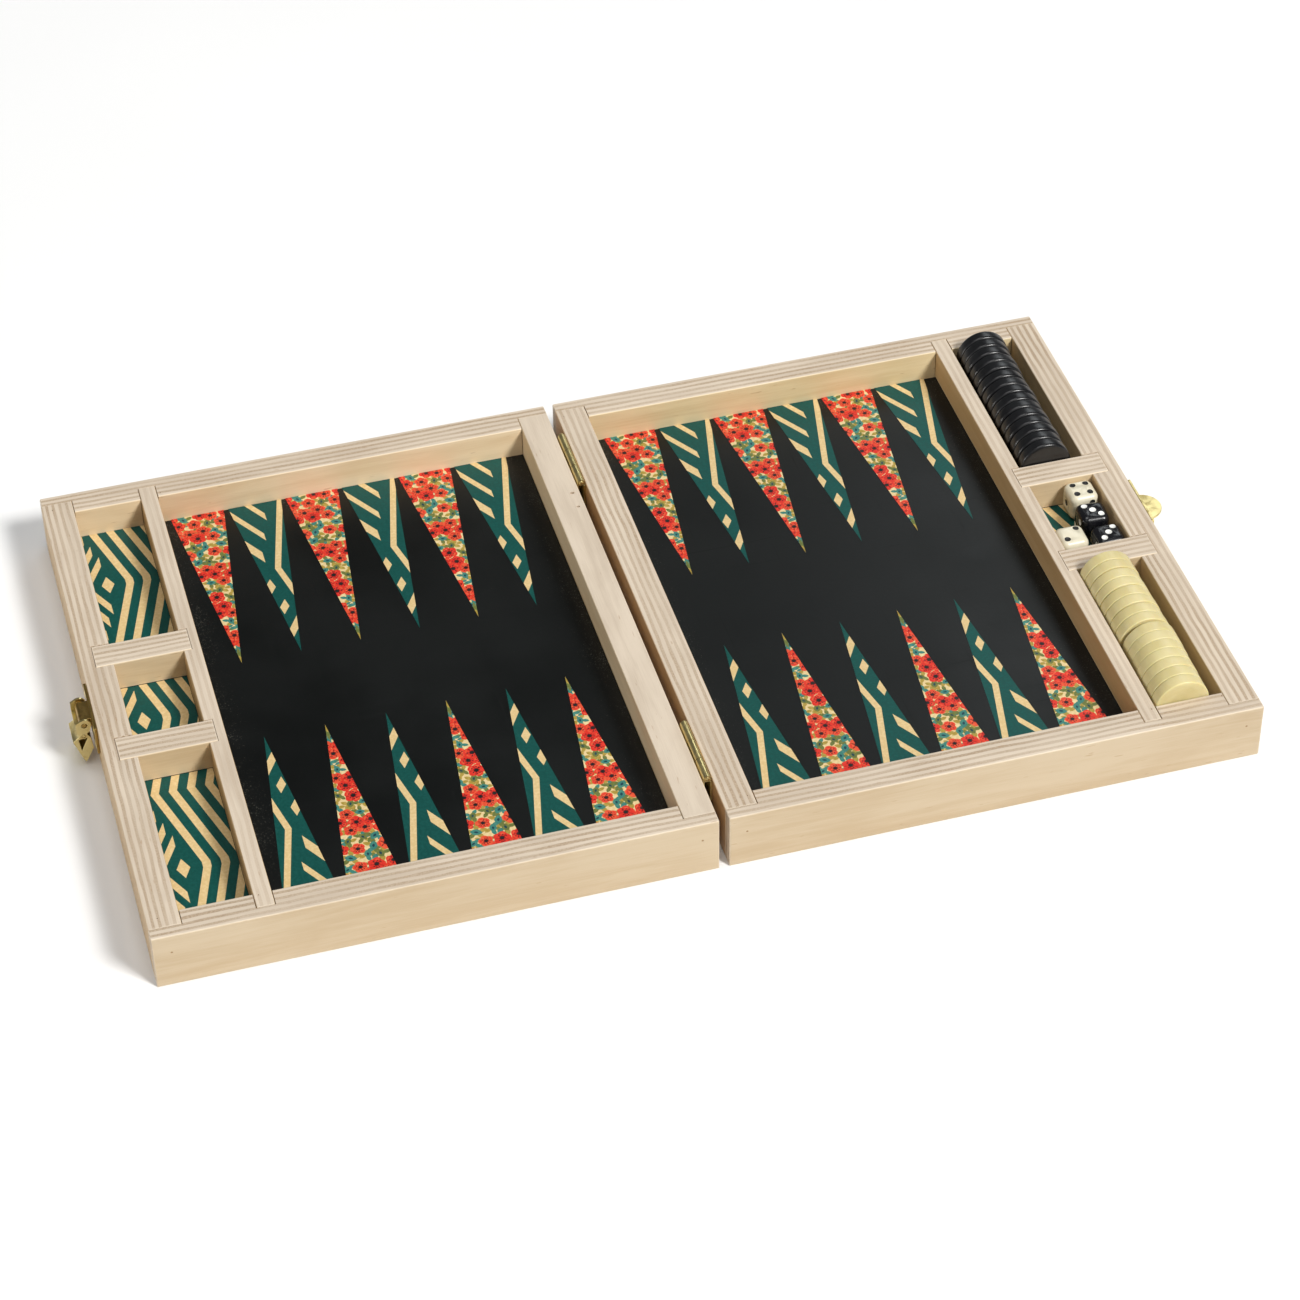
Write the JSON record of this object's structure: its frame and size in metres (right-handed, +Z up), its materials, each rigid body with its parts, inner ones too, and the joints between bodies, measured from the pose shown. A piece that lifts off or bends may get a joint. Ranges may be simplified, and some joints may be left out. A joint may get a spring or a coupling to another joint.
{
  "type": "folding backgammon case",
  "caption": "Folding plywood board-game case, open flat: two hinged trays with printed points, storage bays, checkers, dice and a toggle latch.",
  "frame": {"origin": "on the table, under the hinge line, midway along the hinge line, with the case open flat", "axes": "+Z up out of the playing surface; +X from the latch end, across both trays, to the catch end; +Y along the hinge line, away from the front rails"},
  "size_m": [0.4506, 0.26, 0.0337],
  "materials": {
    "birch_plywood": "sanded birch plywood, clear satin, laminated edges showing",
    "printed_panel": "satin black printed board with coloured points",
    "brass": "bright pressed brass",
    "black_plastic": "polished black",
    "cream_plastic": "satin cream"
  },
  "bodies": {
    "left_tray": {"left_front_rail": "birch_plywood", "left_back_rail": "birch_plywood", "left_end_rail": "birch_plywood", "left_hinge_rail": "birch_plywood", "left_partition": "birch_plywood", "left_front_divider": "birch_plywood", "left_back_divider": "birch_plywood", "left_floor_panel": "printed_panel", "front_hinge_left_leaf": "brass", "back_hinge_left_leaf": "brass", "front_hinge_pin": "brass", "back_hinge_pin": "brass", "latch_base_plate": "brass"},
    "right_tray": {"right_front_rail": "birch_plywood", "right_back_rail": "birch_plywood", "right_end_rail": "birch_plywood", "right_hinge_rail": "birch_plywood", "right_partition": "birch_plywood", "right_front_divider": "birch_plywood", "right_back_divider": "birch_plywood", "right_floor_panel": "printed_panel", "front_hinge_right_leaf": "brass", "back_hinge_right_leaf": "brass", "catch_plate": "brass", "black_checker_01": "black_plastic", "black_checker_02": "black_plastic", "black_checker_03": "black_plastic", "black_checker_04": "black_plastic", "black_checker_05": "black_plastic", "black_checker_06": "black_plastic", "black_checker_07": "black_plastic", "black_checker_08": "black_plastic", "black_checker_09": "black_plastic", "black_checker_10": "black_plastic", "black_checker_11": "black_plastic", "black_checker_12": "black_plastic", "black_checker_13": "black_plastic", "black_checker_14": "black_plastic", "black_checker_15": "black_plastic", "cream_checker_01": "cream_plastic", "cream_checker_02": "cream_plastic", "cream_checker_03": "cream_plastic", "cream_checker_04": "cream_plastic", "cream_checker_05": "cream_plastic", "cream_checker_06": "cream_plastic", "cream_checker_07": "cream_plastic", "cream_checker_08": "cream_plastic", "cream_checker_09": "cream_plastic", "cream_checker_10": "cream_plastic", "cream_checker_11": "cream_plastic", "cream_checker_12": "cream_plastic", "cream_checker_13": "cream_plastic", "cream_checker_14": "cream_plastic", "cream_checker_15": "cream_plastic", "cream_die_four": "cream_plastic", "cream_die_two": "cream_plastic", "black_die_three_back": "black_plastic", "black_die_three_front": "black_plastic"},
    "latch_lever": {"latch_lever": "brass"},
    "latch_hook": {"latch_hook": "brass"}
  },
  "joints": [
    {"name": "fold", "type": "hinge", "parent": "left_tray", "child": "right_tray", "pos_m": [0, 0, 0.0252], "axis": [0, -1, 0], "range_deg": [0, 180]},
    {"name": "latch_lever_swing", "type": "hinge", "parent": "left_tray", "child": "latch_lever", "pos_m": [-0.2202, 0, 0.0213], "axis": [0, 1, 0], "range_deg": [0, 95]},
    {"name": "latch_hook_swing", "type": "hinge", "parent": "latch_lever", "child": "latch_hook", "pos_m": [-0.2209, 0, 0.016], "axis": [0, 1, 0], "range_deg": [-10, 50]}
  ]
}
